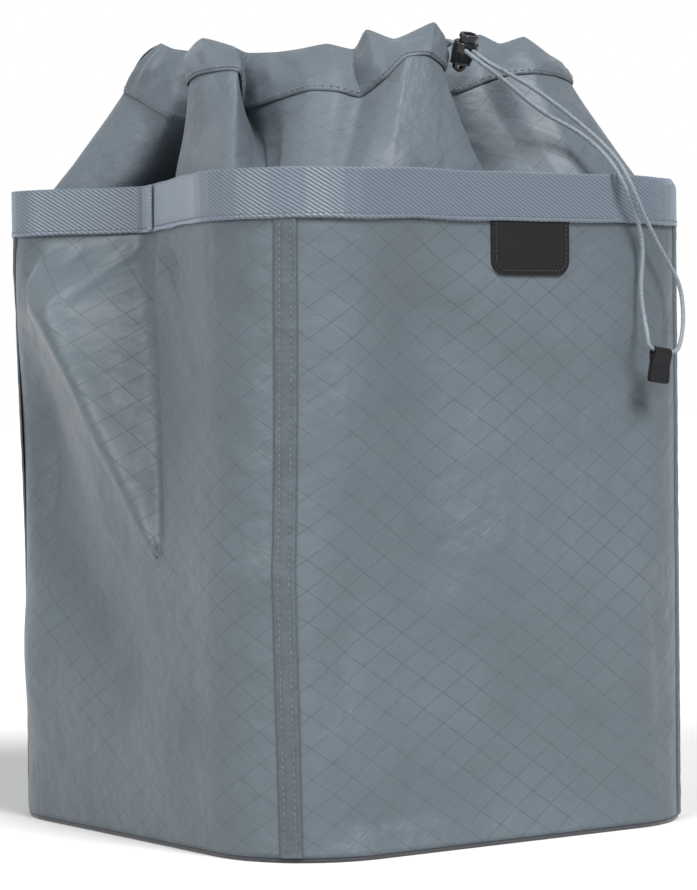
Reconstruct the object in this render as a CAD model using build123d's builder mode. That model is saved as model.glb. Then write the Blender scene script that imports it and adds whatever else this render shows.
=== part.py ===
"""Square drawstring laundry bag that stands open on its own.

Four ripstop panels meet at flat-felled corner seams and are sewn to a flat base. A stiff webbing band
stands up around the rim, and inside it a collar narrows to the mouth. A drawcord runs in the collar's
channel, comes out at the front through a cord lock, and its free loop carries a folded pull tab. A label
patch hangs from the rim band at the front.

Origin: centre of the base, on the floor. +Z up, the label and the cord lock face -Y, +X is to their right.
All sizes are in millimetres.
"""
from build123d import *
import math
import os

os.makedirs("parts", exist_ok=True)

# Driving dimensions
side = 345.0  # outside width across two opposite panels
corner_r = 70.0  # plan radius of the corners
cloth = 1.2  # wall of a fabric piece
binding_h = 4.0  # dark binding that lifts the panels off the floor
buckle_z = 180.0  # the left side is straight below this height
rim_z = 382.0  # lower edge of the webbing band
webbing_h = 30.0  # standard 30 mm webbing
webbing_t = 2.0
collar_z = rim_z + 4.0  # the collar is sewn in just above the band's lower edge
mouth_z = 474.0  # lower edge of the channel
mouth_side = 230.0
mouth_r = 80.0
channel_h = 31.0
channel_t = 2.9  # half the channel's thickness
cord_d = 2.7
cord_play = 0.3  # bores are this much larger in radius than the cord
seam_w = 15.0  # width of a flat-felled corner seam
thread_t = 0.4
thread_w = 0.8

half = side / 2
mouth_half = mouth_side / 2
mouth_top = mouth_z + channel_h


def write(piece, name):
    """Labels a finished piece and writes its STEP file."""
    piece.part.label = name
    export_step(piece.part, f"parts/{name}.step")


# Plan outlines, corner by corner from front left: the fifth corner is the crease in the left side, which
# fades out at buckle_z. Where the left side folds in, its two corners spread, so the cloth keeps its length.
base_corners = [(-half, -half), (half, -half), (half, half), (-half, half), (2 - half, -35)]
base_radii = [corner_r, corner_r, corner_r, corner_r, 60]
rim_corners = [(-26.5 - half, -half), (half, -half), (half, half), (-19.5 - half, half), (58.5 - half, 64)]
rim_radii = [corner_r, corner_r, corner_r, 32, 14]
mouth_corners = [
    (-mouth_half, -mouth_half),
    (mouth_half, -mouth_half),
    (mouth_half, mouth_half),
    (-mouth_half, mouth_half),
    (35 - mouth_half, 32),
]
mouth_radii = [mouth_r, mouth_r, mouth_r, 45, 15]


def plan(corners, radii, grow):
    """The outline grown outwards by grow: the same corners and arcs, each side moved along its normal."""
    count = len(corners)
    moved = []
    rounded = []
    for i, corner in enumerate(corners):
        here = Vector(*corner)
        into = (here - Vector(*corners[i - 1])).normalized()
        out = (Vector(*corners[(i + 1) % count]) - here).normalized()
        turn = into.cross(out).Z
        normals = Vector(into.Y, -into.X) + Vector(out.Y, -out.X)
        moved.append(here + normals * (grow / (1 + into.dot(out))))
        rounded.append(radii[i] + math.copysign(grow, turn))
    return FilletPolyline(moved, radius=rounded, close=True)


def outline(corners, radii, z, grow):
    """A closed plan face at height z."""
    with BuildSketch(Plane.XY.offset(z)) as face:
        with BuildLine():
            plan(corners, radii, grow)
        make_face()
    return face.sketch


def ring(corners, radii, z, height, inner, outer):
    """A standing band between two offsets of an outline."""
    with BuildPart() as band:
        add(outline(corners, radii, z, outer))
        extrude(amount=height)
        add(outline(corners, radii, z, inner))
        extrude(amount=height, mode=Mode.SUBTRACT)
    return band.part


def shell(levels, inner, outer):
    """A lofted wall through outlines from the lowest up, each given as (corners, radii, z)."""
    with BuildPart() as wall:
        loft([outline(*level, outer) for level in levels], ruled=True)
        loft([outline(*level, inner) for level in levels], ruled=True, mode=Mode.SUBTRACT)
    return wall.part


hem = (base_corners, base_radii, binding_h)
buckle = (base_corners, base_radii, buckle_z)
rim = (rim_corners, rim_radii, rim_z)
sewn = (rim_corners, rim_radii, collar_z)
mouth = (mouth_corners, mouth_radii, mouth_z)
diagonals = {"front": -135, "right": -45, "back": 45, "left": 135}  # bearing of each panel's first corner

# Base: a flat panel inside a binding that the panels stand on.
with BuildPart() as base_panel:
    add(outline(base_corners, base_radii, 0, -2.5))
    extrude(amount=1.5)
write(base_panel, "base_panel")

with BuildPart() as base_binding:
    add(ring(base_corners, base_radii, 0, binding_h, -2.5, -0.5))
write(base_binding, "base_binding")

# Panels: one lofted wall with a short upright edge under the band, cut at the corners.
with BuildPart() as wall:
    add(shell([hem, buckle, rim], -cloth, 0))
    add(ring(rim_corners, rim_radii, rim_z, collar_z - rim_z, -cloth, 0))

reach = 2 * side
for name, bearing in diagonals.items():
    first = math.radians(bearing)
    second = math.radians(bearing + 90)
    with BuildPart() as panel:
        add(wall.part)
        with BuildSketch(Plane.XY):
            with BuildLine():
                Polyline(
                    (0, 0),
                    (reach * math.cos(first), reach * math.sin(first)),
                    (reach * math.cos(second), reach * math.sin(second)),
                    close=True,
                )
            make_face()
        extrude(amount=mouth_z, mode=Mode.INTERSECT)
    write(panel, f"panel_{name}")

# Flat-felled corner seams: a folded strip on the outside of each corner, with two rows of stitching on it.
corner_bearings = {"front_left": -135, "front_right": -45, "back_right": 45, "back_left": 135}
seam_low = binding_h + 2
row_gap = 6.5  # between the two rows of stitching


def strip(solid, bearing, width, shift=0.0, low=0.0, high=mouth_top):
    """The part of a solid within an upright slab that runs out from the axis at a bearing."""
    angle = math.radians(bearing)
    slab = Plane(origin=(0, 0, low), x_dir=(math.cos(angle), math.sin(angle), 0))
    with BuildPart() as cut:
        add(solid)
        with BuildSketch(slab):
            with Locations((side / 2, shift)):
                Rectangle(side, width)
        extrude(amount=high - low, mode=Mode.INTERSECT)
    return cut.part


felled = shell([hem, buckle, rim], 0, 1.0)
for name, bearing in corner_bearings.items():
    with BuildPart() as seam:
        add(strip(felled, bearing, seam_w, low=seam_low))
    write(seam, f"seam_{name}")

thread_wall = shell([hem, buckle, rim], 1.0, 1.0 + thread_t)
with BuildPart() as seam_stitching:
    for bearing in corner_bearings.values():
        for shift in (-row_gap / 2, row_gap / 2):
            add(strip(thread_wall, bearing, thread_w, shift, seam_low + 2, rim_z - 1))
write(seam_stitching, "seam_stitching")

# Rim band: webbing that stands up outside the collar, closed by a lap at the crease, with a facing inside.
with BuildPart() as rim_webbing:
    add(ring(rim_corners, rim_radii, rim_z, webbing_h, 0, webbing_t))
write(rim_webbing, "rim_webbing")

lap_bearing = math.degrees(math.atan2(rim_corners[4][1], rim_corners[4][0]))
lap_wall = ring(rim_corners, rim_radii, rim_z + 0.5, webbing_h - 1, webbing_t, webbing_t + 1.2)
with BuildPart() as webbing_lap:
    add(strip(lap_wall, lap_bearing, 12, 12))
write(webbing_lap, "webbing_lap")

facing_h = 12.0
with BuildPart() as rim_facing:
    add(shell([hem, buckle, rim], -cloth - 1.0, -cloth))
    split(bisect_by=Plane.XY.offset(rim_z - facing_h), keep=Keep.TOP)
write(rim_facing, "rim_facing")

with BuildPart() as rim_stitching:
    add(ring(rim_corners, rim_radii, rim_z + 2.2, thread_w, webbing_t, webbing_t + thread_t))
    add(strip(lap_wall, lap_bearing, 13, 12), mode=Mode.SUBTRACT)
write(rim_stitching, "rim_stitching")

# Collar: it leans in from the rim seam to the channel, and is closed by one seam at the back.
with BuildPart() as collar:
    add(shell([sewn, mouth], -cloth, 0))
write(collar, "collar")

with BuildPart() as collar_seam:
    add(strip(shell([sewn, mouth], 0, 1.0), 90, 10, low=collar_z + 2))
write(collar_seam, "collar_seam")

# Channel: a tunnel around the mouth, open at the front where the two ends of the drawcord come out.
skin = 1.2
tunnel = channel_t - skin
exit_w = 26.0
exit_z = mouth_z + 23.5  # the cord rides high in the tunnel
with BuildPart() as channel:
    add(ring(mouth_corners, mouth_radii, mouth_z, channel_h, -channel_t, channel_t))
    hollow = ring(mouth_corners, mouth_radii, mouth_z + skin, channel_h - 2 * skin, -tunnel, tunnel)
    add(hollow, mode=Mode.SUBTRACT)
    with BuildSketch(Plane.XZ.offset(mouth_half)):
        with Locations((0, exit_z)):
            SlotOverall(exit_w, 8)
    extrude(amount=2 * channel_t, mode=Mode.SUBTRACT)
write(channel, "channel")

with BuildPart() as channel_stitching:
    add(ring(mouth_corners, mouth_radii, mouth_z + 2, thread_w, channel_t, channel_t + thread_t))
write(channel_stitching, "channel_stitching")

# Cord lock: its own plane leans forward, so its bores point outwards and down.
lean = math.radians(30)
lock = Plane(origin=(0, -131, 491), x_dir=(1, 0, 0), z_dir=(0, -math.sin(lean), math.cos(lean)))
bores = Plane(origin=lock.origin, x_dir=(1, 0, 0), z_dir=-lock.y_dir)
bore_x = 2.9  # each bore's distance from the lock's middle
lock_w = 17.0
lock_depth = 10.0
foot_w = 14.0  # the body tapers to this below its shoulder
foot_depth = 8.8
shoulder_z = -2.0
lock_top = 4.2
lock_bottom = -9.0
eye_z = lock_bottom - 2.6  # a small eye under the body
eye_r = 4.4
eye_hole_r = 2.5
eye_half = 1.5  # half the eye's thickness
pocket_w = 11.4
pocket_depth = 7.4
pocket_floor = -7.6
press = 2.4  # travel of the plunger
cap_z = lock_top + press + 0.2

with BuildPart() as lock_body:
    with BuildSketch(lock.offset(shoulder_z)) as waist:
        SlotOverall(lock_w, lock_depth)
    extrude(amount=lock_top - shoulder_z)
    fillet(lock_body.faces().sort_by(Axis(lock.origin, lock.z_dir))[-1].edges(), radius=0.8)
    with BuildSketch(lock.offset(lock_bottom)) as foot:
        SlotOverall(foot_w, foot_depth)
    loft([waist.sketch, foot.sketch])
    with BuildSketch(bores):
        with Locations((0, eye_z)):
            Circle(eye_r)
    extrude(amount=eye_half, both=True)
    with BuildSketch(bores):
        with Locations((0, eye_z)):
            Circle(eye_hole_r)
    extrude(amount=eye_half, both=True, mode=Mode.SUBTRACT)
    with BuildSketch(lock.offset(pocket_floor)):
        SlotOverall(pocket_w, pocket_depth)
    extrude(amount=lock_top - pocket_floor, mode=Mode.SUBTRACT)
    with BuildSketch(bores):
        with Locations((-bore_x, 0), (bore_x, 0)):
            Circle(cord_d / 2 + cord_play)
    extrude(amount=lock_depth, both=True, mode=Mode.SUBTRACT)
write(lock_body, "lock_body")

play = 0.2  # the stem's play in the pocket, on each side
stem_bottom = -2.7
cap_w = 12.6
cap_depth = 9.0
cap_h = 2.4
dish_w = 8.6  # the thumb dish in the cap
dish_depth = 5.0
dish_h = 0.9
slot_low = -cord_d / 2 - 0.15
slot_high = cord_d / 2 + cord_play + press
with BuildPart() as lock_plunger:
    with BuildSketch(lock.offset(stem_bottom)):
        SlotOverall(pocket_w - 2 * play, pocket_depth - 2 * play)
    extrude(amount=cap_z - stem_bottom)
    with BuildSketch(lock.offset(cap_z)):
        SlotOverall(cap_w, cap_depth)
    extrude(amount=cap_h)
    fillet(lock_plunger.faces().sort_by(Axis(lock.origin, lock.z_dir))[-1].edges(), radius=0.7)
    with BuildSketch(lock.offset(cap_z + cap_h - dish_h)):
        SlotOverall(dish_w, dish_depth)
    extrude(amount=dish_h, mode=Mode.SUBTRACT)
    with BuildSketch(bores):
        with Locations((-bore_x, (slot_low + slot_high) / 2), (bore_x, (slot_low + slot_high) / 2)):
            SlotOverall(slot_high - slot_low, cord_d + 2 * cord_play, rotation=90)
    extrude(amount=lock_depth, both=True, mode=Mode.SUBTRACT)
write(lock_plunger, "lock_plunger")

wire_r = 0.25
spring_z = pocket_floor + wire_r + 0.1
with BuildPart() as lock_spring:
    with BuildLine() as coil:
        Helix(
            pitch=1.1,
            height=stem_bottom - pocket_floor - 2 * wire_r - 0.2,
            radius=2.4,
            center=lock.offset(spring_z).origin,
            direction=lock.z_dir,
        )
    with BuildSketch(Plane(origin=coil.line @ 0, z_dir=coil.line % 0)):
        Circle(wire_r)
    sweep(is_frenet=True)
write(lock_spring, "lock_spring")

# Pull tab: a leaf folded over the cord, hanging from it. Its plane follows the cord's dip through the fold.
dip = math.radians(8)
tab_hinge = Vector(109, -188, 301)
across = Vector(math.cos(dip), 0, -math.sin(dip))
tab_face = Plane(origin=tab_hinge, x_dir=across, z_dir=(0, -1, 0))
tab_edge = Plane(origin=tab_hinge, x_dir=(0, 1, 0), z_dir=across)
tab_h = 19.5
fold_r = 3.0
leaf_half = 1.6  # half the thickness of the two leaves pressed together
pinch_z = -8.0  # the leaves meet from here down
tab_top_half = 6.5  # half the width at the fold
tab_low_half = 8.0  # and at the lower edge
tab_reach = 10.0  # past the widest point of the tab, both ways
with BuildPart() as pull_tab:
    with BuildSketch(tab_edge):
        with BuildLine():
            Polyline((leaf_half, -tab_h), (leaf_half, pinch_z), (fold_r, -1), (fold_r, 0))
            CenterArc((0, 0), fold_r, 0, 180)
            Polyline((-fold_r, 0), (-fold_r, -1), (-leaf_half, pinch_z), (-leaf_half, -tab_h))
            Line((-leaf_half, -tab_h), (leaf_half, -tab_h))
        make_face()
    extrude(amount=tab_reach, both=True)
    with BuildSketch(tab_face):
        with BuildLine():
            Polyline(
                (-tab_top_half, fold_r + 1),
                (-tab_low_half, -tab_h),
                (tab_low_half, -tab_h),
                (tab_top_half, fold_r + 1),
                close=True,
            )
        tab_outline = make_face()
        fillet(tab_outline.vertices().group_by(Axis.Z)[0], radius=2.5)
    extrude(amount=2 * fold_r, both=True, mode=Mode.INTERSECT)
    with BuildSketch(tab_edge):
        Circle(cord_d / 2 + cord_play + 0.1)
    extrude(amount=tab_reach, both=True, mode=Mode.SUBTRACT)
write(pull_tab, "pull_tab")


def arc_radii(points):
    """The largest arc that each corner of a route has room for."""
    radii = []
    for a, b, c in zip(points, points[1:], points[2:]):
        run = min((b - a).length, (c - b).length)
        radii.append(0.45 * run / math.tan(math.radians((b - a).get_angle(c - b)) / 2))
    return radii


def tube(points, radii, name):
    """A cord's solid along a route of straight runs and tangent arcs, with its sizes printed."""
    with BuildPart() as cord:
        with BuildLine() as path:
            FilletPolyline(points, radius=radii)
        with BuildSketch(Plane(origin=path.line @ 0, z_dir=path.line % 0)):
            Circle(cord_d / 2)
        sweep()
    length = path.wires()[0].length
    share = cord.part.volume / (math.pi * cord_d**2 / 4 * length)
    print(name, "length", round(length, 1), "volume share", round(share, 4))
    print(name, "radii", [round(r, 1) for r in radii])
    write(cord, name)


# Drawcord: from the left bore's mouth, back through the lock, round the mouth in the tunnel, and out again.
front = lock_depth / 2
behind = 9.5
turn_in = 9.0  # each end leaves the tunnel this far from the middle


def from_lock(x, out):
    """A point on a line parallel to the bores: x across the lock, and out along them."""
    return lock.from_local_coords(Vector(x, -out, 0))


left_end = [from_lock(-bore_x, front), from_lock(-bore_x, -behind), Vector(-turn_in, -mouth_half, exit_z)]
right_end = [Vector(turn_in, -mouth_half, exit_z), from_lock(bore_x, -behind), from_lock(bore_x, front)]
around = [Vector(x, y, exit_z) for x, y in mouth_corners]
around = [around[0], around[4], around[3], around[2], around[1]]
end_radii = arc_radii(left_end + [around[0]])
around_radii = [mouth_radii[0], mouth_radii[4], mouth_radii[3], mouth_radii[2], mouth_radii[1]]
tube(left_end + around + right_end, end_radii + around_radii + end_radii[::-1], "drawcord")

# Free loop of the drawcord: out of the left bore, down over the rim band, through the tab's fold, and back up
# to the right bore.
loop_points = [
    from_lock(-bore_x, front),
    from_lock(-bore_x, front + 15),
    Vector(16, -149, 470.5),
    Vector(43, -150, 452),
    Vector(70, -156, 440),
    Vector(81, -168.5, 425.5),
    Vector(82, -183, 410),
    Vector(97, -180.5, 386),
    Vector(104, -178, 366),
    Vector(101.5, -177, 341),
    Vector(102.5, -180, 321),
    Vector(99.5, -186, 312.5),
    tab_hinge - across * 10,
    tab_hinge + across * 13,
    Vector(127.5, -187, 310.5),
    Vector(133.5, -182, 326),
    Vector(133.5, -178.5, 345),
    Vector(118, -180, 363.5),
    Vector(98.5, -184.5, 387),
    Vector(86.5, -186, 408),
    Vector(86, -171.5, 425),
    Vector(73, -157, 443.5),
    Vector(45, -150.5, 463),
    Vector(20, -149, 474.5),
    from_lock(bore_x, front + 15),
    from_lock(bore_x, front),
]
tube(loop_points, arc_radii(loop_points), "drawcord_loop")

# Label patch: it hangs from the band's lower edge, with its lower corners rounded and a stitched border.
label_t = 1.5
label_drop = 33.5
label_left = -14.0
label_right = 48.0
label_taper = 3.0  # the right edge leans in by this much
label_inset = 3.0  # of the stitched border
with BuildPart() as label_patch:
    with BuildSketch(Plane.XZ.offset(half)) as label_face:
        with BuildLine():
            Polyline(
                (label_left, rim_z),
                (label_left, rim_z - label_drop),
                (label_right - label_taper, rim_z - label_drop),
                (label_right, rim_z),
                close=True,
            )
        make_face()
        fillet(label_face.vertices().group_by(Axis.Z)[0], radius=10)
    extrude(amount=label_t)
write(label_patch, "label_patch")

with BuildPart() as label_stitching:
    with BuildSketch(Plane.XZ.offset(half + label_t)):
        add(label_face.sketch.moved(Location((0, -label_t, 0))))
        offset(amount=-label_inset)
        offset(amount=-thread_w, mode=Mode.SUBTRACT)
    extrude(amount=thread_t)
write(label_stitching, "label_stitching")
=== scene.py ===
# %% [markdown]
# # A ripstop laundry bag, dressed around its CAD frame
# The bag is cut from flat cloth: four walls, a collar and a channel for the drawcord. Every piece here
# starts as a flat grid with its UV map in metres and is then moved to where it hangs, so the weave follows
# the cloth. The frame gives the sizes, the places and what moves.

# %% Load the frame
import functools
import math

import bmesh
import bpy
from mathutils import Matrix, Quaternion, Vector, noise


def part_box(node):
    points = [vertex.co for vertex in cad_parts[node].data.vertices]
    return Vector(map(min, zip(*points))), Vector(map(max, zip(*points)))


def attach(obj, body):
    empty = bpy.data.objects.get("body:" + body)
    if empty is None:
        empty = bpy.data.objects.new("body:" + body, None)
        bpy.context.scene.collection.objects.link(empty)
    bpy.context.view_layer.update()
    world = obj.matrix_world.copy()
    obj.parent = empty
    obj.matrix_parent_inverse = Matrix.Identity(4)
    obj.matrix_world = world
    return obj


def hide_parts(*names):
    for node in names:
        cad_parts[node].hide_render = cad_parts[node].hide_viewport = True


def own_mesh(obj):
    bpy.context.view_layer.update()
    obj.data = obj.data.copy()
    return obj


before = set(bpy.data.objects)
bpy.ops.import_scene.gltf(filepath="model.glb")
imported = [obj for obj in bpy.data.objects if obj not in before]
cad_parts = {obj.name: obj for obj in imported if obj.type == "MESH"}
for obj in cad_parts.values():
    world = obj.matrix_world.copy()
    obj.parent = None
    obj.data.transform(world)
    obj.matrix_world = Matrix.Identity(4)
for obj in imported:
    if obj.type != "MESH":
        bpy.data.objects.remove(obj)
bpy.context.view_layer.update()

# %% [markdown]
# ## Camera
# A long lens far from the bag keeps its upright edges nearly parallel. The camera stands a little above the
# middle of the bag, to the front left, and leans by half a degree.

# %% Camera
camera_data = bpy.data.cameras.new("camera")
camera_data.sensor_width = 36
camera_data.lens = 131.5
camera = bpy.data.objects.new("camera", camera_data)
bpy.context.scene.collection.objects.link(camera)
bpy.context.scene.camera = camera
camera.location = (-1.240, -1.732, 0.293)
aim = Vector((0.001, -0.001, 0.2425))
camera.rotation_mode = "QUATERNION"
lean = Quaternion((0, 0, 1), math.radians(-0.6))
camera.rotation_quaternion = (aim - camera.location).to_track_quat("-Z", "Y") @ lean
print("camera is", round((aim - camera.location).length, 2), "m from its aim")

# %% [markdown]
# ## Free cord
# One limp braided cord comes out of the lock's left bore, drops over the rim band, passes through the pull
# tab's fold and climbs back to the right bore. It is a curve with a round bevel: a quadratic NURBS spline
# stays smooth between the given points, and each point's radius is the cord's own.

# %% Cord
cord_d = 0.0027
loop_route = [
    (-0.0029, -0.1353, 0.4885),
    (-0.0029, -0.1483, 0.4810),
    (0.0160, -0.1490, 0.4705),
    (0.0430, -0.1500, 0.4520),
    (0.0700, -0.1560, 0.4400),
    (0.0810, -0.1685, 0.4255),
    (0.0820, -0.1830, 0.4100),
    (0.0970, -0.1805, 0.3860),
    (0.1040, -0.1780, 0.3660),
    (0.1015, -0.1770, 0.3410),
    (0.1025, -0.1800, 0.3210),
    (0.0995, -0.1860, 0.3125),
    (0.0991, -0.1880, 0.3024),
    (0.1219, -0.1880, 0.2992),
    (0.1275, -0.1870, 0.3105),
    (0.1335, -0.1820, 0.3260),
    (0.1335, -0.1785, 0.3450),
    (0.1180, -0.1800, 0.3635),
    (0.0985, -0.1845, 0.3870),
    (0.0865, -0.1860, 0.4080),
    (0.0860, -0.1715, 0.4250),
    (0.0730, -0.1570, 0.4435),
    (0.0450, -0.1505, 0.4630),
    (0.0200, -0.1490, 0.4745),
    (0.0029, -0.1483, 0.4810),
    (0.0029, -0.1353, 0.4885),
]


def round_cord(name, route, diameter):
    """A round cord along one smooth open spline."""
    data = bpy.data.curves.new(name, "CURVE")
    data.dimensions = "3D"
    spline = data.splines.new("NURBS")
    spline.points.add(len(route) - 1)
    for point, place in zip(spline.points, route):
        point.co = (*place, 1)
        point.radius = diameter / 2
    spline.order_u = 3
    spline.use_endpoint_u = True
    spline.resolution_u = 8
    data.bevel_depth = 1
    data.bevel_resolution = 3
    data.use_fill_caps = True
    piece = bpy.data.objects.new(name, data)
    bpy.context.scene.collection.objects.link(piece)
    return piece


loop = round_cord("free_loop", loop_route, cord_d)
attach(loop, "bag")
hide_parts("drawcord_loop")
print("free loop has", len(loop_route), "points")

# %% [markdown]
# ## Writing shader maths as Python
# A material is a graph of nodes. Wrapping a socket in a small class lets + - * / add the Math nodes, and
# one method adds any other node, so each finish below reads as a formula.

# %% Shader helpers
class Value:
    """A node's output that Python's operators work on."""

    def __init__(self, maker, socket):
        self.maker = maker
        self.socket = socket

    def math(self, operation, other):
        """A Math node on this value and another."""
        return self.maker.node("Math", {"operation": operation}, {0: self, 1: other})

    def __add__(self, other):
        return self.math("ADD", other)

    def __sub__(self, other):
        return self.math("SUBTRACT", other)

    def __rsub__(self, other):
        return self.maker.node("Math", {"operation": "SUBTRACT"}, {0: other, 1: self})

    def __mul__(self, other):
        return self.math("MULTIPLY", other)

    def __truediv__(self, other):
        return self.math("DIVIDE", other)

    __radd__ = __add__
    __rmul__ = __mul__

    def line(self, pitch, width):
        """1 on lines that repeat every pitch, falling to 0 at width from them."""
        away = self.math("PINGPONG", pitch / 2)
        return (1 - away / width).math("MAXIMUM", 0)


class NodeTree:
    """Makes the nodes of one material or world."""

    def __init__(self, owner, shader):
        owner.use_nodes = True
        self.tree = owner.node_tree
        self.shader = self.tree.nodes[shader]

    def node(self, kind, settings=None, sockets=None, output=0):
        """Adds a node: its settings first, then the values or links of its sockets."""
        node = self.tree.nodes.new("ShaderNode" + kind)
        for key, value in (settings or {}).items():
            setattr(node, key, value)
        for key, value in (sockets or {}).items():
            if isinstance(value, Value):
                self.tree.links.new(value.socket, node.inputs[key])
            else:
                node.inputs[key].default_value = value
        return Value(self, node.outputs[output])

    def set(self, **links):
        """Feeds the shader's sockets."""
        for key, value in links.items():
            self.tree.links.new(value.socket, self.shader.inputs[key.replace("_", " ")])


class Finish(NodeTree):
    """One material and its Principled shader."""

    def __init__(self, name, **constants):
        self.material = bpy.data.materials.new(name)
        super().__init__(self.material, "Principled BSDF")
        for key, value in constants.items():
            self.shader.inputs[key.replace("_", " ")].default_value = value

    def mix(self, factor, first, second):
        """One colour turning into another."""
        return self.node("Mix", {"data_type": "RGBA"}, {0: factor, 6: first, 7: second}, 2)

    def cloth_place(self):
        """Where a point is on the flat cloth: across and up, in millimetres."""
        uv = self.node("TexCoord", output="UV")
        across = self.node("SeparateXYZ", {}, {0: uv}, "X") * 1000
        up = self.node("SeparateXYZ", {}, {0: uv}, "Y") * 1000
        return uv, across, up

    def cloud(self, place, scale, detail=2.0, rough=0.5):
        """Soft noise from 0 to 1."""
        sockets = {"Vector": place, "Scale": scale, "Detail": detail, "Roughness": rough}
        return self.node("TexNoise", {}, sockets, "Fac")

    def bump(self, height, distance, strength=1.0, under=None):
        """Turns a height from 0 to 1 into a surface that is distance metres deep."""
        sockets = {"Height": height, "Distance": distance, "Strength": strength}
        if under:
            sockets["Normal"] = under
        return self.node("Bump", {}, sockets)


print("helpers ready")

# %% [markdown]
# ## Ripstop
# Ripstop is a fine plain weave with a thicker yarn every few millimetres. This cloth is cut on the bias, so
# the thick yarns make diamonds. They are two families of lines across the flat cloth: a slight ridge, a
# slight change of colour. Noise of several sizes gives the grain of the weave, the crumple of thin coated
# nylon and the broad patches where the cloth is a little lighter or darker.

# %% Ripstop finish
diamond_w = 27.0
diamond_h = 18.6
diamond_pitch = 1 / math.hypot(1 / diamond_w, 1 / diamond_h)
yarn_w = 0.5
grain_scale = 1600
crumple_scale = 38
broad_scale = 16
patch_scale = 9


def ripstop(name, dark, light, rough=0.4, yarn_strength=0.65):
    """Bias-cut ripstop between two shades."""
    finish = Finish(name, Sheen_Weight=0.12, Sheen_Roughness=0.4, Specular_IOR_Level=0.45)
    uv, across, up = finish.cloth_place()
    rising = (across / diamond_w + up / diamond_h) * diamond_pitch
    falling = (across / diamond_w - up / diamond_h) * diamond_pitch
    yarns = (rising.line(diamond_pitch, yarn_w) + falling.line(diamond_pitch, yarn_w)).math("MINIMUM", 1)
    grain = finish.cloud(uv, grain_scale, 3)
    patches = (finish.cloud(uv, patch_scale, 3, 0.55) - 0.28) * 2.2
    cloth = finish.mix(patches * 0.7 + grain * 0.3, dark, light)
    yarn_colour = tuple(0.55 * c for c in dark[:3]) + (1,)
    colour = finish.mix(yarns * (0.35 + patches) * yarn_strength, cloth, yarn_colour)
    broad = finish.bump(finish.cloud(uv, broad_scale, 3, 0.55), 0.012, 0.5)
    soft = finish.bump(finish.cloud(uv, crumple_scale, 4, 0.6), 0.004, 0.4, broad)
    weave = finish.bump(grain * 0.5 + yarns * 0.6, 0.00018, 0.8, soft)
    finish.set(Base_Color=colour, Roughness=rough + grain * 0.14, Normal=weave)
    return finish.material


wall_cloth = ripstop("ripstop", (0.072, 0.092, 0.108, 1), (0.105, 0.130, 0.150, 1))
collar_cloth = ripstop("ripstop_collar", (0.070, 0.089, 0.108, 1), (0.106, 0.130, 0.153, 1), 0.46, 0.36)
seam_cloth = ripstop("ripstop_seam", (0.050, 0.064, 0.077, 1), (0.080, 0.100, 0.116, 1), 0.48, 0.3)
print("diamond lines are", round(diamond_pitch, 1), "mm apart")

# %% [markdown]
# ## Webbing, thread, cord and the small parts
# Twill webbing shows diagonal ribs, which are one family of slanting lines. The thread and cord are soft
# and matt, the lock is gloss plastic and the label and the tab are moulded rubber with a fine grain.

# %% Other finishes
rib_pitch = 2.1
selvedge_w = 2.0


def twill(name):
    """Webbing with ribs that fall to the right and a pale selvedge along its lower edge."""
    finish = Finish(name, Sheen_Weight=0.6, Sheen_Roughness=0.35, Specular_IOR_Level=0.45)
    finish.shader.inputs["Sheen Tint"].default_value = (0.75, 0.85, 1, 1)
    uv, across, up = finish.cloth_place()
    wander = finish.cloud(uv, 90) * 0.5
    slant = across * 0.52 + up * 0.85 + wander
    ribs = slant.math("PINGPONG", rib_pitch / 2) / (rib_pitch / 2)
    hem = up.math("LESS_THAN", selvedge_w)
    patches = finish.cloud(uv, 20, 3)
    rib_colour = finish.mix(ribs, (0.066, 0.086, 0.106, 1), (0.150, 0.184, 0.226, 1))
    tinted = finish.mix(patches * 0.35, rib_colour, (0.11, 0.132, 0.172, 1))
    colour = finish.mix(hem * 0.4, tinted, (0.17, 0.205, 0.24, 1))
    finish.set(Base_Color=colour, Roughness=0.5 - ribs * 0.12, Normal=finish.bump(ribs, 0.0004, 0.9))
    return finish.material


def plain_yarn(name, dark, light, scale):
    """Thread, braid or rough cloth: a fine lumpy surface between two shades."""
    finish = Finish(name, Sheen_Weight=0.3, Sheen_Roughness=0.5, Roughness=0.7)
    place = finish.node("TexCoord", output="Object")
    lumps = finish.node("TexVoronoi", {}, {"Vector": place, "Scale": scale}, "Distance")
    finish.set(Base_Color=finish.mix(lumps, light, dark), Normal=finish.bump(1 - lumps, 0.0003, 0.6))
    return finish.material


def moulded(name, dark, light, rough, grain_scale, depth):
    """Moulded plastic or rubber with a fine grain."""
    finish = Finish(name, Specular_IOR_Level=0.5 - 0.5 * rough)
    place = finish.node("TexCoord", output="Object")
    grain = finish.cloud(place, grain_scale, 3)
    finish.set(
        Base_Color=finish.mix(grain, dark, light),
        Roughness=rough + grain * 0.08,
        Normal=finish.bump(grain, depth, 0.5),
    )
    return finish.material


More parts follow.
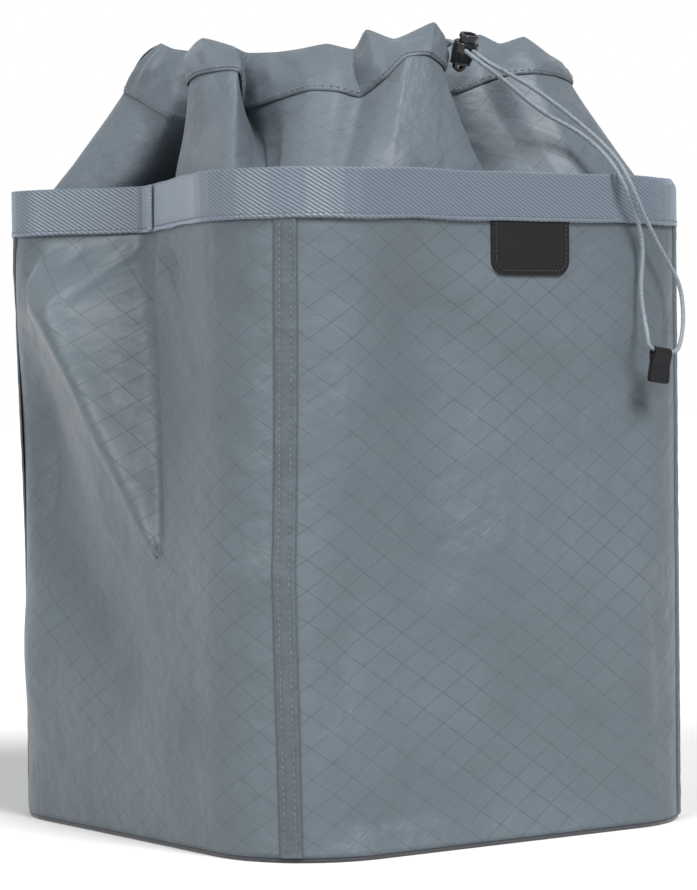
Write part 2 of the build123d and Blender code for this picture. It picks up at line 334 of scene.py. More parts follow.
webbing = twill("twill_webbing")
thread_scale = 1500
yarn_scale = 900
# The base's near-black colour is partly its own dark cloth and partly painted shadow under the hem.
base_and_painted_shadow = plain_yarn("dark_base_and_painted_shadow", (0.016, 0.018, 0.022, 1), (0.04, 0.045, 0.055, 1), yarn_scale)
thread = plain_yarn("thread", (0.06, 0.078, 0.092, 1), (0.15, 0.182, 0.208, 1), thread_scale)
label_thread = plain_yarn("label_thread", (0.004, 0.004, 0.005, 1), (0.014, 0.014, 0.016, 1), thread_scale)
braid = plain_yarn("braided_cord", (0.10, 0.120, 0.138, 1), (0.23, 0.268, 0.305, 1), yarn_scale)
gloss_black = moulded(
    "gloss_black_plastic", (0.008, 0.008, 0.01, 1), (0.014, 0.015, 0.018, 1), 0.12, 300, 0.00002
)
rubber = moulded(
    "charcoal_rubber", (0.006, 0.006, 0.0075, 1), (0.011, 0.0105, 0.0125, 1), 0.5, 1400, 0.0001
)
wire = moulded("spring_wire", (0.45, 0.45, 0.46, 1), (0.6, 0.6, 0.62, 1), 0.25, 900, 0.00001)
loop.data.materials.append(braid)
for node, material in (("lock_body", gloss_black), ("lock_plunger", gloss_black), ("pull_tab", rubber)):
    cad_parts[node].data.materials.clear()
    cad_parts[node].data.materials.append(material)
print("finishes", [m.name for m in bpy.data.materials])

# %% [markdown]
# ## Cutting and placing cloth
# `cut_cloth` makes the flat rectangle and writes its UV map while it is still flat. `hang` then moves each
# point to its place. Cloth this thin is a surface with a Solidify modifier.

# %% Cloth helpers
def cut_cloth(width, height, cell):
    """A flat rectangle of cloth in metres, with its lower left corner at the origin."""
    bm = bmesh.new()
    uv = bm.loops.layers.uv.new("UVMap")
    across = max(1, round(width / cell))
    up = max(1, round(height / cell))
    bmesh.ops.create_grid(bm, x_segments=across, y_segments=up, size=0.5)
    bmesh.ops.translate(bm, vec=(0.5, 0.5, 0), verts=bm.verts)
    bmesh.ops.scale(bm, vec=(width, height, 1), verts=bm.verts)
    for face in bm.faces:
        face.smooth = True
        for corner in face.loops:
            corner[uv].uv = corner.vert.co.xy
    return bm


def hang(bm, place):
    """Moves every point of the flat cloth to place(across, up), given and returned in millimetres."""
    for vert in bm.verts:
        vert.co = place(vert.co.x * 1000, vert.co.y * 1000) / 1000


def finish_piece(bm, name, material, nodes=(), thickness=0.0, offset=-1.0, body="bag"):
    """Turns a bmesh into a named piece that rides on a body and stands for its CAD nodes."""
    mesh = bpy.data.meshes.new(name)
    bm.to_mesh(mesh)
    bm.free()
    piece = bpy.data.objects.new(name, mesh)
    bpy.context.scene.collection.objects.link(piece)
    mesh.materials.append(material)
    if thickness:
        wall = piece.modifiers.new("thickness", "SOLIDIFY")
        wall.thickness = thickness
        wall.offset = offset
    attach(piece, body)
    if nodes:
        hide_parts(*nodes)
    print(name, len(mesh.polygons), "faces")
    return piece


def between(low, high, share):
    return low + (high - low) * share


def clamp(value, low=0.0, high=1.0):
    return max(low, min(high, value))


def smooth_step(share):
    """Rises from 0 to 1 with no corner at either end."""
    share = clamp(share)
    return share * share * (3 - 2 * share)


def hump(distance, width):
    """1 at a line, falling smoothly to nothing about two widths away."""
    return math.exp(-((distance / width) ** 2))


def wave(x, y, seed):
    """Smooth noise between about -1 and 1."""
    return noise.noise(Vector((x, y, seed)))


print("cloth helpers ready")

# %% [markdown]
# ## The bag's outline at every height
# Seen from above the bag is a square with round corners. Low down its left side is straight. Higher up the
# side buckles: a valley runs from a point low on the side up to the crease in the rim, and a ridge runs
# from that point up to the back left corner. Both are corners of the outline that slide along as it rises.

# %% Outline
half = 172.5
corner_r = 70
ridge_r = 14
valley_r = 12
front_left_lean = 26.5
rim_z = 382.0
band_h = 30.0
buckle_z = 170.0
ridge_top_z = 330.0
back_turn_z = 150.0
buckle_point = Vector((-172.3, -45))
crease_at_rim = Vector((-114, 64))
ridge_at_top = Vector((-174, 88))
ridge_at_rim = Vector((-148, 111.5))
# The back left corner is a circle, given as x, y and radius, low down and at the rim.
back_turn_low = Vector((-102.5, 102.5, 70))
back_turn_rim = Vector((-129.7, 140.5, 32))
# How far along the rim each corner's seam is from the middle of its corner.
seam_shift_at_rim = (10, 0, 0, 0)
arc_steps = 12


def rounded(corners, radii):
    """A dense closed line round an outline, with how far along each point is, and each corner's middle."""
    line = []
    middles = []
    for i, corner in enumerate(corners):
        into = (corner - corners[i - 1]).normalized()
        out = (corners[(i + 1) % len(corners)] - corner).normalized()
        turn = math.atan2(into.x * out.y - into.y * out.x, into.dot(out))
        start = corner - into * radii[i] * math.tan(abs(turn) / 2)
        centre = start + Vector((-into.y, into.x)) * math.copysign(radii[i], turn)
        middles.append(len(line) + arc_steps // 2)
        for step in range(arc_steps + 1):
            line.append(centre + Matrix.Rotation(turn * step / arc_steps, 2) @ (start - centre))
    line.append(line[0])
    along = [0.0]
    for a, b in zip(line, line[1:]):
        along.append(along[-1] + (b - a).length)
    return line, along, [along[m] for m in middles]


@functools.lru_cache(maxsize=None)
def outline_at(z):
    """The line round the bag at height z, how far along it each point is, and where its four seams are."""
    rise = clamp(z / rim_z)
    buckle = clamp((z - buckle_z) / (rim_z - buckle_z))
    ridge_share = clamp((z - buckle_z) / (ridge_top_z - buckle_z))
    fade = smooth_step((z - ridge_top_z) / (rim_z - ridge_top_z))
    ridge = (buckle_point + Vector((0, 1))).lerp(ridge_at_top, ridge_share).lerp(ridge_at_rim, fade)
    turn = back_turn_low.lerp(back_turn_rim, smooth_step((z - back_turn_z) / (rim_z - back_turn_z)))
    to_turn = turn.xy - ridge
    touching = Matrix.Rotation(math.asin(turn.z / to_turn.length), 2) @ to_turn
    front_left = Vector((-half - front_left_lean * rise, -half))
    front_right = Vector((half, -half))
    back_right = Vector((half, half))
    back_left = ridge + touching * (half - ridge.y) / touching.y
    valley = buckle_point.lerp(crease_at_rim, buckle)
    corners = [front_left, front_right, back_right, back_left, ridge, valley]
    line, along, middles = rounded(corners, [corner_r, corner_r, corner_r, turn.z, ridge_r, valley_r])
    seams = [middle + shift * rise for middle, shift in zip(middles, seam_shift_at_rim)]
    return line, along, seams


def on_line(line, along, distance):
    """The point and outward direction at a distance along a closed line."""
    total = along[-1]
    distance %= total
    low, high = 0, len(along) - 1
    while high - low > 1:
        middle = (low + high) // 2
        if along[middle] <= distance:
            low = middle
        else:
            high = middle
    step = along[high] - along[low]
    share = (distance - along[low]) / step if step else 0.0
    point = line[low].lerp(line[high], share)
    direction = (line[high] - line[low]).normalized()
    return point, Vector((direction.y, -direction.x))


def wall_point(side, share, z, out=0.0):
    """A point on a wall: side 0 front, 1 right, 2 back, 3 left, and the share of the way across it."""
    line, along, middles = outline_at(round(clamp(z, 0, rim_z), 2))
    first = middles[side]
    last = middles[(side + 1) % 4] if side < 3 else middles[0] + along[-1]
    point, outward = on_line(line, along, between(first, last, share))
    return Vector((*(point + outward * out), z)), outward


for height in (0, 200, 382):
    print("outline at", height, "is", round(outline_at(height)[1][-1]), "mm round", outline_at(height)[2])

# %% [markdown]
# ## Walls
# Each wall is one rectangle of cloth between two corner seams. Folds are pressed in as strokes, as a
# sculptor would: each has a start, an end, a width and a depth, in millimetres on the flat cloth.

# %% Wall panels
wall_w = 315.0
wall_h = 380.0
hem_z = 3.0


def stroke_depth(strokes, across, up):
    """How far all the strokes push the cloth out at a point."""
    total = 0.0
    for start, end, width, depth in strokes:
        ax, ay = start
        bx, by = end
        length_squared = (bx - ax) ** 2 + (by - ay) ** 2
        share = clamp(((across - ax) * (bx - ax) + (up - ay) * (by - ay)) / length_squared)
        gap = math.hypot(across - between(ax, bx, share), up - between(ay, by, share))
        if gap < 3 * width:
            total += depth * hump(gap, width) * (1 - 0.55 * share)
    return total


left_strokes = [
    ((124, 384), (196, 178), 5, -5),
    ((140, 384), (208, 190), 9, 3),
    ((42, 350), (200, 172), 10, 5),
    ((22, 250), (146, 104), 42, -24),
    ((24, 378), (38, 335), 4.5, -4.5),
    ((60, 380), (62, 350), 3.5, -4.0),
    ((104, 378), (80, 330), 4.5, -4.5),
    ((88, 380), (96, 356), 4, 3),
    ((150, 374), (238, 290), 5, -5),
    ((172, 356), (212, 340), 10, -5),
    ((225, 380), (240, 345), 6, 2),
    ((196, 170), (225, 100), 22, -2.5),
    ((60, 110), (190, 60), 40, 7),
]
front_strokes = [
    ((90, 372), (105, 180), 38, -14),
    ((45, 130), (115, 120), 55, -12),
    ((165, 290), (235, 300), 52, -6),
    ((150, 150), (245, 140), 58, 9),
    ((270, 150), (285, 60), 8, -2.4),
    ((255, 180), (292, 110), 5, 1.6),
    ((60, 20), (250, 10), 60, -5),
    ((235, 372), (262, 335), 6, -1.8),
    ((30, 376), (44, 345), 5, -1.6),
]
right_strokes = [
    ((60, 350), (120, 120), 30, -4),
    ((230, 340), (200, 90), 36, 4),
    ((140, 378), (150, 330), 6, -2),
]
back_strokes = [
    ((90, 340), (160, 80), 32, 4),
    ((240, 360), (200, 160), 26, -4),
    ((60, 376), (72, 330), 6, -2),
]
# Each side's name, its strokes, and how far below the band the cloth is still held flat.
sides = [
    ("front", front_strokes, 50),
    ("right", right_strokes, 30),
    ("back", back_strokes, 30),
    ("left", left_strokes, 14),
]
label_across, label_up = 195, 350
ripple_depth = 1.8
pucker_depth = 1.1
pucker_h = 60


def wall_place(side, strokes, held_under_band):
    """Where the flat cloth of one wall hangs."""

    def place(across, up):
        share = across / wall_w
        z = between(hem_z, rim_z + 2, up / wall_h)
        edge = smooth_step(min(share, 1 - share) * 7)
        loose = edge * clamp(up / 20) * clamp((wall_h - 4 - up) / held_under_band)
        ripple = ripple_depth * wave(across / 45, up / 60, 7.0 + side)
        under_band = clamp((up - (wall_h - pucker_h)) / pucker_h)
        pucker = under_band * pucker_depth * wave(across / 9, up / 40, 3.0 + side)
        if side == 0:
            near_label = hump(across - label_across, 65) * hump(up - label_up, 50)
            loose *= 1 - smooth_step(1.9 * near_label)
        out = loose * (ripple + stroke_depth(strokes, across, up) + pucker)
        return wall_point(side, share, z, out)[0]

    return place


for side, (name, strokes, held_under_band) in enumerate(sides):
    cloth = cut_cloth(wall_w / 1000, wall_h / 1000, 0.0032)
    hang(cloth, wall_place(side, strokes, held_under_band))
    panel = finish_piece(cloth, f"{name}_wall", wall_cloth, [f"panel_{name}"], 0.0008)

# %% [markdown]
# ## Corner seams
# A flat-felled seam is a folded strip over each corner, held by two rows of stitches. The fold makes one
# edge thicker, and the thread pulls the strip into small puckers between the stitches.

# %% Corner seams
seam_w = 14.5
seam_t = 1.1
row_gap = 6.5
row_w = 0.9
fold_at = 5.6
seam_names = ["front_left", "front_right", "back_right", "back_left"]
stitch_pitch = 4.0


def round_corner(side, share, z, out):
    """wall_point for shares a little below 0, which lie on the wall before."""
    if share >= 0:
        return wall_point(side, share, z, out)
    return wall_point((side - 1) % 4, 1 + share, z, out)


def seam_place(side):
    """Where the strip over the corner at the start of a wall lies. Its folded edge is on that wall."""

    def place(across, up):
        offset = across - seam_w / 2
        z = between(hem_z, rim_z + 1, up / wall_h)
        body = math.sqrt(clamp(1 - abs(offset / (seam_w / 2)) ** 4))
        rows = hump(offset + row_gap / 2, row_w)
        fold = 0.0
        if offset >= 0:
            rows += hump(offset - row_gap / 2, row_w)
            fold = 0.7 * hump(offset - fold_at, 1.1) + 0.3 * wave(offset / 5, up / 9, side) * body
        pucker = 0.22 * math.sin(2 * math.pi * up / stitch_pitch) * rows
        out = 0.2 + seam_t * body + fold - 0.45 * rows + pucker
        return round_corner(side, offset / wall_w, z, out)[0]

    return place


for side, name in enumerate(seam_names):
    strip = cut_cloth(seam_w / 1000, wall_h / 1000, 0.0011)
    hang(strip, seam_place(side))
    finish_piece(strip, f"{name}_seam", seam_cloth, [f"seam_{name}"], 0.0006)

# %% [markdown]
# ## Stitches
# A stitch is a short rounded bar that sinks into the cloth at both ends. A low sphere, stretched and turned
# along its row, is enough at this size, and all the stitches of one kind are one piece.

# %% Stitches
bead = bmesh.new()
bmesh.ops.create_uvsphere(bead, u_segments=6, v_segments=4, radius=1.0)
bead_shape = bpy.data.meshes.new("stitch_bead")
bead.to_mesh(bead_shape)
bead.free()


def add_stitch(bm, here, after, outward, length, width):
    """One stitch centred between two points of its row, in millimetres."""
    along = (after - here).normalized()
    across = along.cross(outward).normalized()
    out = across.cross(along)
    middle = (here + after) / 2
    turn = Matrix((along, across, out)).transposed().to_4x4()
    size = Matrix.Diagonal((length / 2000, width / 2000, width / 2600, 1))
    stitch = bead_shape.copy()
    stitch.transform(Matrix.Translation(middle / 1000) @ turn @ size)
    bm.from_mesh(stitch)
    bpy.data.meshes.remove(stitch)


def smooth_all(bm):
    for face in bm.faces:
        face.smooth = True


seam_threads = bmesh.new()
first_stitch_z = 8
stitch_rise = 2.6
on_seam = 1.15
for side in range(4):
    for row in (-row_gap / 2, row_gap / 2):
        for i in range(int((rim_z - 10) / stitch_pitch)):
            z = first_stitch_z + i * stitch_pitch
            here, outward = round_corner(side, row / wall_w, z, on_seam)
            after, _ = round_corner(side, row / wall_w, z + stitch_rise, on_seam)
            add_stitch(seam_threads, here, after, Vector((*outward, 0)), 3.0, 0.85)
smooth_all(seam_threads)
finish_piece(seam_threads, "seam_stitches", thread, ["seam_stitching"])

# %% [markdown]
# ## Rim band
# Stiff 30 mm webbing follows the rim and stands up outside the collar. Its edges wander by about a
# millimetre, and at the right front corner its top leans in.

# %% Rim band
rim_line, rim_along, rim_middles = outline_at(rim_z)
rim_length = rim_along[-1]
rim_start = rim_middles[3]
band_t = 1.8
right_corner_at = 655


def rim_point(distance, z, out=0.0):
    """A point on the rim, a distance round from the back left corner seam."""
    point, outward = on_line(rim_line, rim_along, rim_start + distance)
    return Vector((*(point + outward * out), z)), outward


def band_place(across, up):
    wander = wave(across / 60, 2.0, 0)
    edge = 0.8 * wave(across / 40, 9.0, 0)
    lean_in = -3.2 * clamp((up - 22) / 8) ** 2 * hump(across - right_corner_at, 45)
    selvedge = 0.35 * hump(up, 1.6)
    z = rim_z + up + edge
    return rim_point(across, z, 1.9 + 0.9 * wander * up / band_h + lean_in + selvedge)[0]


def close_ring(bm):
    """Joins the two ends of a strip that has been hung right round."""
    bmesh.ops.remove_doubles(bm, verts=bm.verts, dist=0.00002)


band = cut_cloth(rim_length / 1000, band_h / 1000, 0.0015)
hang(band, band_place)
close_ring(band)
finish_piece(band, "rim_band", webbing, ["rim_webbing"], band_t / 1000)

lap_at = 130
lap_out = 3.0
lap = cut_cloth(0.013, 0.029, 0.001)
hang(lap, lambda across, up: rim_point(lap_at + across, rim_z + 0.5 + up, lap_out)[0])
finish_piece(lap, "band_lap", webbing, ["webbing_lap"], 0.0011, 0)

facing_h = 12.0
facing_out = -3.6
facing = cut_cloth(rim_length / 1000, facing_h / 1000, 0.003)
hang(facing, lambda across, up: rim_point(across, rim_z - facing_h + up, facing_out)[0])
close_ring(facing)
finish_piece(facing, "inner_facing", webbing, ["rim_facing"], 0.0008)

band_threads = bmesh.new()
band_pitch = 3.2
thread_up = 2.8
thread_out = 2.15
for i in range(int(rim_length / band_pitch)):
    here, outward = rim_point(i * band_pitch, rim_z + thread_up, thread_out)
    after, _ = rim_point(i * band_pitch + 2.2, rim_z + thread_up, thread_out)
    add_stitch(band_threads, here, after, Vector((*outward, 0)), 2.3, 0.7)
smooth_all(band_threads)
finish_piece(band_threads, "band_stitches", thread, ["rim_stitching"])

# %% [markdown]
# ## Collar folds
# The collar is as wide as the rim at its foot and is gathered to the mouth by the drawcord. Each fold is a
# station: how far round the rim its cloth is sewn, where the channel's lower edge is above it, and where
# the channel's top is. A smooth curve through the stations gives the folded mouth. The front folds are
# listed one by one, and the ones at the back, which are alike, come from a formula.

# %% Mouth stations
# Each: its place round the rim, the channel's lower edge above it, and the channel's top.
front_stations = [
    (5, (-105, 100, 476), (-93, 74, 507)),
    (44, (-107, 76, 468), (-94, 58, 502)),
    (76, (-103, 50, 456), (-90, 42, 499)),
    (106, (-68, 38, 452), (-62, 32, 492)),
    (140, (-64, 12, 452), (-60, 10, 490)),
    (170, (-120, -2, 472), (-107, 14, 498)),
    (205, (-123, -18, 477), (-109, 0, 503)),
    (292, (-111, -43, 477), (-99, -19, 497)),
    (309, (-96, -25, 456), (-89, -21, 493)),
    (322, (-95, -62, 459), (-81, -42, 492)),
    (339, (-89, -90, 463), (-74, -58, 493)),
    (349, (-76, -101, 462), (-66, -76, 495)),
    (358, (-60, -103, 459), (-50, -82, 492)),
    (371, (-53, -121, 470), (-49, -94, 503)),
    (399, (-45, -131, 482), (-30, -98, 498)),
    (447, (-28, -130, 484), (-10, -112, 508)),
    (495, (-10, -121, 477), (0, -106, 500)),
    (512, (-8, -90, 467), (-4, -84, 493)),
    (531, (20, -96, 466), (24, -90, 499)),
    (544, (38, -100, 472), (50, -82, 506)),
    (553, (46, -112, 476), (59, -91, 500)),
    (569, (64, -120, 478), (71, -101, 504)),
    (594, (87, -112, 478), (92, -96, 496)),
    (619, (110, -99, 476), (108, -90, 489)),
    (650, (122, -84, 474), (114, -74, 487)),
]
back_folds = 20
mouth_half = 128.0


def squareness(bearing):
    """How much farther than its half width a square with round corners reaches in a direction."""
    return (math.cos(bearing) ** 4 + math.sin(bearing) ** 4) ** -0.25


stations = list(front_stations)
for k in range(1, back_folds):
    share = k / back_folds
    bearing = math.radians(between(-33, 135, share))
    fold = 7 * math.cos(math.pi * k) * (1 + 0.4 * math.sin(2.3 * k))
    reach = (mouth_half - 3) * squareness(bearing) + fold
    lean_in = 25 + 3 * math.sin(1.7 * k)
    low = (reach * math.cos(bearing), reach * math.sin(bearing), 473 + 4 * math.sin(1.9 * k))
    top_reach = reach - lean_in
    top = (top_reach * math.cos(bearing), top_reach * math.sin(bearing), 499 + 5 * math.cos(2.7 * k))
    stations.append((between(650, rim_length + 5, share), low, top))
station_count = len(stations)
rim_of = [s[0] for s in stations]
low_of = [Vector(s[1]) for s in stations]
top_of = [Vector(s[2]) for s in stations]

cloth_of = [0.0]
for i in range(station_count):
    j = (i + 1) % station_count
    rim_step = (rim_of[j] - rim_of[i]) % rim_length
    cloth_of.append(cloth_of[-1] + 0.5 * rim_step + 0.5 * (low_of[j] - low_of[i]).length)
collar_length = cloth_of[-1]
front_crease = 0.55


def through(values, i, share, wrap=0.0):
    """A smooth closed curve through values, a share of the way from value i to the next.

    Slopes below their full size, as at the front, make each fold sharper.
    """

    def value(k):
        turns, place = divmod(k, station_count)
        return values[place] + turns * wrap if wrap else values[place]

    def where(k):
        turns, place = divmod(k, station_count)
        return cloth_of[place] + turns * collar_length

    crease = front_crease if i < len(front_stations) - 1 else 1.0
    span = (where(i + 1) - where(i)) * crease
    slope_in = (value(i + 1) - value(i - 1)) / (where(i + 1) - where(i - 1)) * span
    slope_out = (value(i + 2) - value(i)) / (where(i + 2) - where(i)) * span
    s2, s3 = share**2, share**3
    return (
        value(i) * (2 * s3 - 3 * s2 + 1)
        + slope_in * (s3 - 2 * s2 + share)
        + value(i + 1) * (3 * s2 - 2 * s3)
        + slope_out * (s3 - s2)
    )


@functools.lru_cache(maxsize=None)
def mouth_at(cloth):
    """The rim distance, the channel's lower edge and its top at a distance along the collar's cloth."""
    cloth %= collar_length
    i = max(k for k in range(station_count) if cloth_of[k] <= cloth)
    share = (cloth - cloth_of[i]) / (cloth_of[i + 1] - cloth_of[i])
    distance = through(rim_of, i, share, rim_length)
    return distance, through(low_of, i, share), through(top_of, i, share)


print("stations", station_count, "collar cloth", round(collar_length), "mm of", round(rim_length))

# %% [markdown]
# ## Collar
# Between the rim and the channel each thread of the collar runs nearly straight. Cloth that is folded
# inwards sags towards the inside, and cloth that stands proud is pulled tight.

# %% Collar
collar_z = rim_z + 3
collar_h = 100.0
# Each deep tuck: its place round the rim, its width and its depth.
deep_tucks = [(104, 24, 54), (312, 12, 20), (516, 18, 26)]


def tuck_at(distance):
    """How far the cloth is tucked in between two pleats, half way up the collar."""
    return sum(depth * hump(distance - at, width) for at, width, depth in deep_tucks)


def collar_point(cloth, share, out=0.0):
    """A point of the collar: its share of the way from the rim to the channel."""
    distance, low, _ = mouth_at(round(cloth, 3))
    foot, outward = rim_point(distance, collar_z, -1.0)
    bearing = math.atan2(low.y, low.x)
    proud = math.hypot(low.x, low.y) - mouth_half * squareness(bearing)
    sag = clamp(0.08 - proud / 100, -0.12, 0.35)
    inward = share + sag * share * (1 - share)
    tuck = tuck_at(distance) * 4 * share * (1 - share)
    plan = foot.xy.lerp(low.xy, inward) + outward * (out - tuck)
    return Vector((*plan, between(collar_z, low.z + 1.5, share)))


def collar_place(across, up):
    cloth = across / rim_length * collar_length
    share = up / collar_h
    loose = math.sin(math.pi * share)
    ripple = 1.5 * loose * wave(across / 40, up / 45, 21.0)
    return collar_point(cloth, share, ripple)


collar_cut = cut_cloth(rim_length / 1000, collar_h / 1000, 0.0028)
hang(collar_cut, collar_place)
close_ring(collar_cut)
inner = [v for v in collar_cut.verts if not v.is_boundary]
bmesh.ops.smooth_vert(collar_cut, verts=inner, factor=0.5, use_axis_x=True, use_axis_y=True, use_axis_z=True)
collar = finish_piece(collar_cut, "gathered_collar", collar_cloth, ["collar"], 0.0007)
rim_length / 1000

back_seam_at = collar_length * 0.79
back_seam_w = 10
back_seam_h = 86
back_seam = cut_cloth(back_seam_w / 1000, back_seam_h / 1000, 0.0015)


def back_seam_place(across, up):
    return collar_point(back_seam_at + across - back_seam_w / 2, up / back_seam_h * 0.96 + 0.02, 1.0)


hang(back_seam, back_seam_place)
finish_piece(back_seam, "collar_back_seam", collar_cloth, ["collar_seam"], 0.0007, 0)

# %% [markdown]
# ## Channel
# The channel is a strip folded double over the drawcord and stitched along its lower edge. The cloth goes
# up the outside, over the cord and down the inside, and small gathers run across it.

# %% Channel
channel_w = 80.0
fold_t = 3.4
gather_pitch = 30
mouth_steps = 700
mouth_line = [mouth_at(round(collar_length * k / mouth_steps, 3))[1] for k in range(mouth_steps + 1)]
mouth_cut = 1.08 * sum((b - a).length for a, b in zip(mouth_line, mouth_line[1:]))
print("the mouth's cloth is", round(mouth_cut), "mm round")


def channel_point(cloth, turn, puff=0.0):
    """A point of the channel: turn goes from 0 at the outer lower edge to 1 at the fold and 2 inside."""
    _, low, top = mouth_at(round(cloth, 3))
    _, low_next, _ = mouth_at(round(cloth + 1.0, 3))
    up = top - low
    outward = (low_next - low).cross(up).normalized()
    share = turn if turn <= 1 else 2 - turn
    side = math.cos(math.pi / 2 * turn)
    side = math.copysign(abs(side) ** 0.45, side)
    full = 0.45 + 0.55 * math.sin(math.pi * clamp(share, 0, 0.95) ** 0.8)
    return low + up * share + outward * side * (fold_t * full + puff)


def channel_place(across, up):
    cloth = across / mouth_cut * collar_length
    turn = 2 * up / channel_w
    share = turn if turn <= 1 else 2 - turn
    layer = 0 if turn <= 1 else 40
    phase = 6.0 * wave(across / 60, 5.0, layer)
    strength = 1.1 + 1.5 * wave(across / 50, 13.0, layer)
    rise = clamp(share * 1.5) * clamp((1.02 - share) * 6)
    gather = strength * (1 + math.sin(2 * math.pi * across / gather_pitch + phase + 2 * share)) * rise
    crinkle = 1.6 * wave(across / 14, up / 16, 31.0) * math.sin(math.pi * share)
    return channel_point(cloth, turn, gather + crinkle)


channel_cut = cut_cloth(mouth_cut / 1000, channel_w / 1000, 0.0022)
hang(channel_cut, channel_place)
close_ring(channel_cut)
channel = finish_piece(channel_cut, "cord_channel", collar_cloth, ["channel"], 0.0006)

channel_threads = bmesh.new()
channel_pitch = 3.4
row_turn = 0.07
for i in range(int(collar_length / channel_pitch)):
    at = i * channel_pitch
    here = channel_point(at, row_turn, 0.6)
    after = channel_point(at + 2.2, row_turn, 0.6)
    outward = (after - here).cross(channel_point(at, 0.2) - channel_point(at, row_turn))
    if outward.length > 1e-6:
        add_stitch(channel_threads, here, after, outward, 2.4, 0.7)
smooth_all(channel_threads)
finish_piece(channel_threads, "channel_stitches", thread, ["channel_stitching"])

# %% [markdown]
# ## Drawcord inside the channel
# The rest of the cord runs round inside the channel, half way up it, and comes out at the front behind the
# lock. It is held all the way, so it is not a free cord.

# %% Hidden drawcord
cord_height = 0.5
way_in = [Vector((-2.9, -135.3, 488.5)), Vector((-2.9, -122.8, 495.7)), Vector((-4, -112, 497))]
way_out = [Vector((-p.x, p.y, p.z)) for p in reversed(way_in)]
front_fold = cloth_of[rim_of.index(495)]
ring_points = 110
ring_route = list(way_in)
for k in range(1, ring_points):
    _, low, top = mouth_at(round(front_fold - collar_length * k / ring_points, 3))
    ring_route.append(low.lerp(top, cord_height))
ring_route += way_out
ring = round_cord("channel_cord", [p / 1000 for p in ring_route], cord_d)
ring.data.materials.append(braid)
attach(ring, "bag")
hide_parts("drawcord")
print("channel cord has", len(ring_route), "points")

# %% [markdown]
# ## Base
# The bag stands on a dark base. It shows as a thin strip under the hem: a rounded binding, with a flat
# panel inside it. Their near-black colour is partly the base's own dark cloth and partly painted shadow, the
# contact shade under the hem.

# %% Base
base_line, base_along, _ = outline_at(0)
base_length = base_along[-1]
binding_w = 11
binding_r = 2.0


def base_point(distance, z, out):
    point, outward = on_line(base_line, base_along, distance)
    return Vector((*(point + outward * out), z))


def binding_place(across, up):
    angle = 2 * math.pi * up / binding_w
    return base_point(across, binding_r - binding_r * math.cos(angle), -1.6 + 1.3 * math.sin(angle))


binding = cut_cloth(base_length / 1000, binding_w / 1000, 0.0014)
hang(binding, binding_place)
close_ring(binding)
bmesh.ops.recalc_face_normals(binding, faces=binding.faces)
finish_piece(binding, "hem_binding", base_and_painted_shadow, ["base_binding"])

floor_cloth = bmesh.new()
base_steps = 120
bmesh.ops.create_circle(floor_cloth, cap_ends=True, segments=base_steps, radius=1)
floor_cloth.verts.ensure_lookup_table()
for i, vert in enumerate(floor_cloth.verts):
    vert.co = base_point(base_length * i / base_steps, 1.0, -2.4) / 1000
bmesh.ops.recalc_face_normals(floor_cloth, faces=floor_cloth.faces)
finish_piece(floor_cloth, "base_cloth_panel", base_and_painted_shadow, ["base_panel"], 0.0008, 0)

# %% [markdown]
# ## Label patch
# A moulded patch hangs from the band. Its lower corners are round, a stitched border runs just inside its
# edge, and its face is left plain.

# %% Label
label_low, label_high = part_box("label_patch")
label_r = 0.010
patch = bmesh.new()
bmesh.ops.create_grid(patch, x_segments=1, y_segments=1, size=0.5)
size = label_high - label_low
centre = Matrix.Translation(((label_low.x + label_high.x) / 2, 0, (label_low.z + label_high.z) / 2))
upright = Matrix.Rotation(math.radians(90), 4, "X")
spread = Matrix.Diagonal((size.x, size.z, 1, 1))
bmesh.ops.transform(patch, matrix=centre @ upright @ spread, verts=patch.verts)
low_corners = [v for v in patch.verts if v.co.z < label_low.z + 0.001]
bmesh.ops.bevel(
    patch, geom=low_corners, offset=label_r, segments=8, profile=0.5, affect="VERTICES", material=-1
)
bmesh.ops.translate(patch, vec=(0, -half / 1000 - 0.0004, 0), verts=patch.verts)
front_face = patch.faces[:]
bmesh.ops.inset_region(patch, faces=front_face, thickness=0.0008, depth=0.0011)
bmesh.ops.inset_region(patch, faces=front_face, thickness=0.0045, depth=0)
bmesh.ops.inset_region(patch, faces=front_face, thickness=0.0004, depth=-0.0003)
finish_piece(patch, "label", rubber, ["label_patch"], 0.0006)

label_threads = bmesh.new()
inset = 3.0
left, right = label_low.x * 1000 + inset, label_high.x * 1000 - inset
bottom, top = label_low.z * 1000 + inset, label_high.z * 1000 - 1
bend = label_r * 1000 - inset
border = [Vector((left, 0, top)), Vector((left, 0, bottom + bend))]
border += [
    Vector((left + bend - bend * math.cos(a), 0, bottom + bend - bend * math.sin(a)))
    for a in (math.radians(22.5 * k) for k in range(1, 5))
]
border += [Vector((left + right - p.x, 0, p.z)) for p in reversed(border)]
travelled = 0.0
label_pitch = 2.8
lift = Vector((0, -half - 1.75, 0))
for start, end in zip(border, border[1:]):
    run = (end - start).length
    count = max(1, round(run / label_pitch))
    for i in range(count):
        here = start.lerp(end, i / count)
        after = start.lerp(end, (i + 0.75) / count)
        add_stitch(label_threads, here + lift, after + lift, Vector((0, -1, 0)), 2.1, 0.65)
    travelled += run
smooth_all(label_threads)
finish_piece(label_threads, "label_stitches", label_thread, ["label_stitching"])
print("label border is", round(travelled), "mm long")

# %% [markdown]
# ## Lock spring
# The spring under the lock's button is a short coil of wire. The frame's own coil has the right shape, so a
# merged copy of it takes its place.

# %% Lock spring
coil = bmesh.new()
coil.from_mesh(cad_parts["lock_spring"].data)
bmesh.ops.remove_doubles(coil, verts=coil.verts, dist=0.00001)
smooth_all(coil)
spring = finish_piece(coil, "wire_spring", wire, ["lock_spring"])
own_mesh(spring)

# %% [markdown]
# ## Pull tab border
# The tab is a moulded leaf folded over the cord. A low raised border runs round its face, which is left
# plain inside. It is a flat outline with round corners, inset and raised, and it swings with the tab.

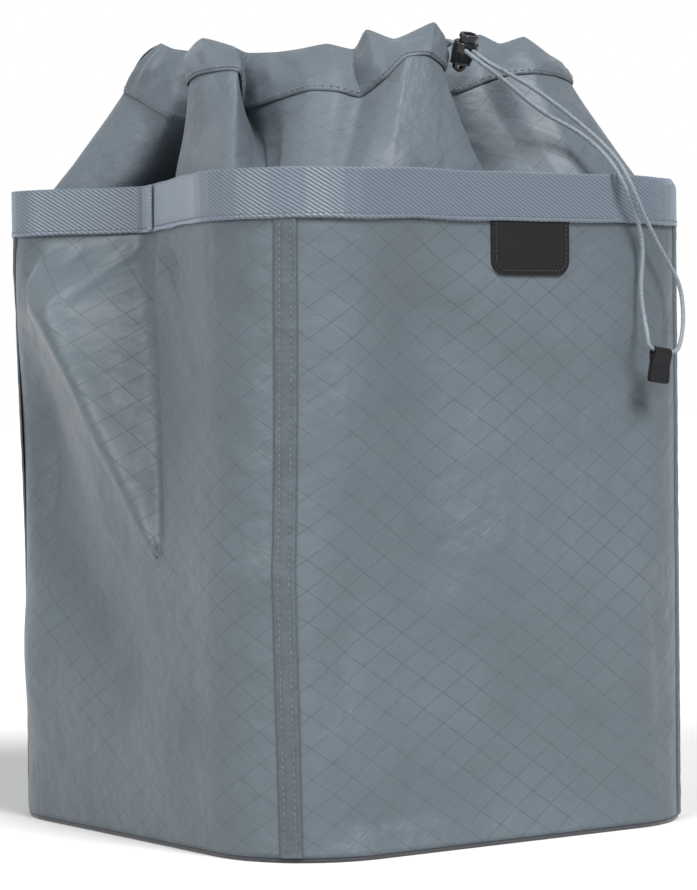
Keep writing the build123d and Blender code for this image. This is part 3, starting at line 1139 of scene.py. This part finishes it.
# %% Pull tab border
tab_hinge = Vector((0.109, -0.188, 0.301))
tab_across = Vector((0.990268, 0, -0.139173))
tab_down = Vector((-0.139173, 0, -0.990268))
tab_face = 0.0016
border_w, border_h, border_from = 0.0095, 0.0120, 0.0055
edge_w = 0.0009
badge = bmesh.new()
bmesh.ops.create_grid(badge, x_segments=1, y_segments=1, size=0.5)
bmesh.ops.scale(badge, vec=(border_w, border_h, 1), verts=badge.verts)
bmesh.ops.bevel(
    badge, geom=badge.verts[:], offset=0.002, segments=5, profile=0.5, affect="VERTICES", material=-1
)
face = badge.faces[:]
bmesh.ops.inset_region(badge, faces=face, thickness=edge_w / 3, depth=0.0003)
bmesh.ops.inset_region(badge, faces=face, thickness=edge_w, depth=0)
bmesh.ops.inset_region(badge, faces=face, thickness=edge_w / 3, depth=-0.0002)
place = Matrix((tab_across, -tab_down, (0, -1, 0))).transposed().to_4x4()
middle = tab_hinge + tab_down * (border_from + border_h / 2) - Vector((0, tab_face, 0))
bmesh.ops.transform(badge, matrix=Matrix.Translation(middle) @ place, verts=badge.verts)
bmesh.ops.recalc_face_normals(badge, faces=badge.faces)
if badge.faces[0].normal.y > 0:
    bmesh.ops.reverse_faces(badge, faces=badge.faces)
finish_piece(badge, "tab_border", rubber, [], 0.0004, body="tab")

# %% [markdown]
# ## Floor and light
# The bag stands on a plain pale floor. Two broad suns light it, one from the front and one from the left.
# The world is dim, dimmer still on the right, and brighter behind the bag to keep its edges pale; where the
# camera sees it, it is white.

# %% Floor and lights
floor_half = 12
floor_mesh = bmesh.new()
bmesh.ops.create_grid(floor_mesh, x_segments=1, y_segments=1, size=floor_half)
floor_data = bpy.data.meshes.new("floor")
floor_mesh.to_mesh(floor_data)
floor_mesh.free()
floor = bpy.data.objects.new("floor", floor_data)
bpy.context.scene.collection.objects.link(floor)
paper = Finish("pale_paper", Roughness=0.9, Base_Color=(0.68, 0.68, 0.68, 1), Specular_IOR_Level=0.1)
floor_data.materials.append(paper.material)


def sun(name, toward, spread, power):
    """Even light from one side of a big soft source."""
    data = bpy.data.lights.new(name, "SUN")
    data.angle = math.radians(spread)
    data.energy = power
    light = bpy.data.objects.new(name, data)
    bpy.context.scene.collection.objects.link(light)
    light.rotation_mode = "QUATERNION"
    light.rotation_quaternion = Vector(toward).to_track_quat("Z", "Y")


sun("key", (0.04, -0.65, 0.72), 24, 4.1)
sun("side", (-0.76, -0.20, 0.60), 30, 2.1)
world = bpy.data.worlds.new("studio")
bpy.context.scene.world = world
room = NodeTree(world, "Background")
room.shader.inputs["Color"].default_value = (1, 1, 1, 1)
toward = room.node("TexCoord", output="Generated")


def facing_way(direction, low, high):
    """1 where the world lies in a direction, falling smoothly to 0 away from it."""
    near = room.node("VectorMath", {"operation": "DOT_PRODUCT"}, {0: toward, 1: direction}, "Value")
    ends = {0: near, 1: low, 2: high, 3: 0.0, 4: 1.0}
    return room.node("MapRange", {"interpolation_type": "SMOOTHSTEP"}, ends)


to_right = facing_way((0.81, -0.58, 0), 0.1, 0.8)
behind = facing_way((0.25, 0.97, 0), 0.2, 0.9)
seen = room.node("LightPath", output="Is Camera Ray")
dim = 0.27
soft = dim - to_right * 0.19 + behind * 0.7
room.set(Strength=soft + seen * (1.0 - soft))
bpy.context.scene.view_settings.view_transform = "Standard"
print("lights", [light.name for light in bpy.data.lights])
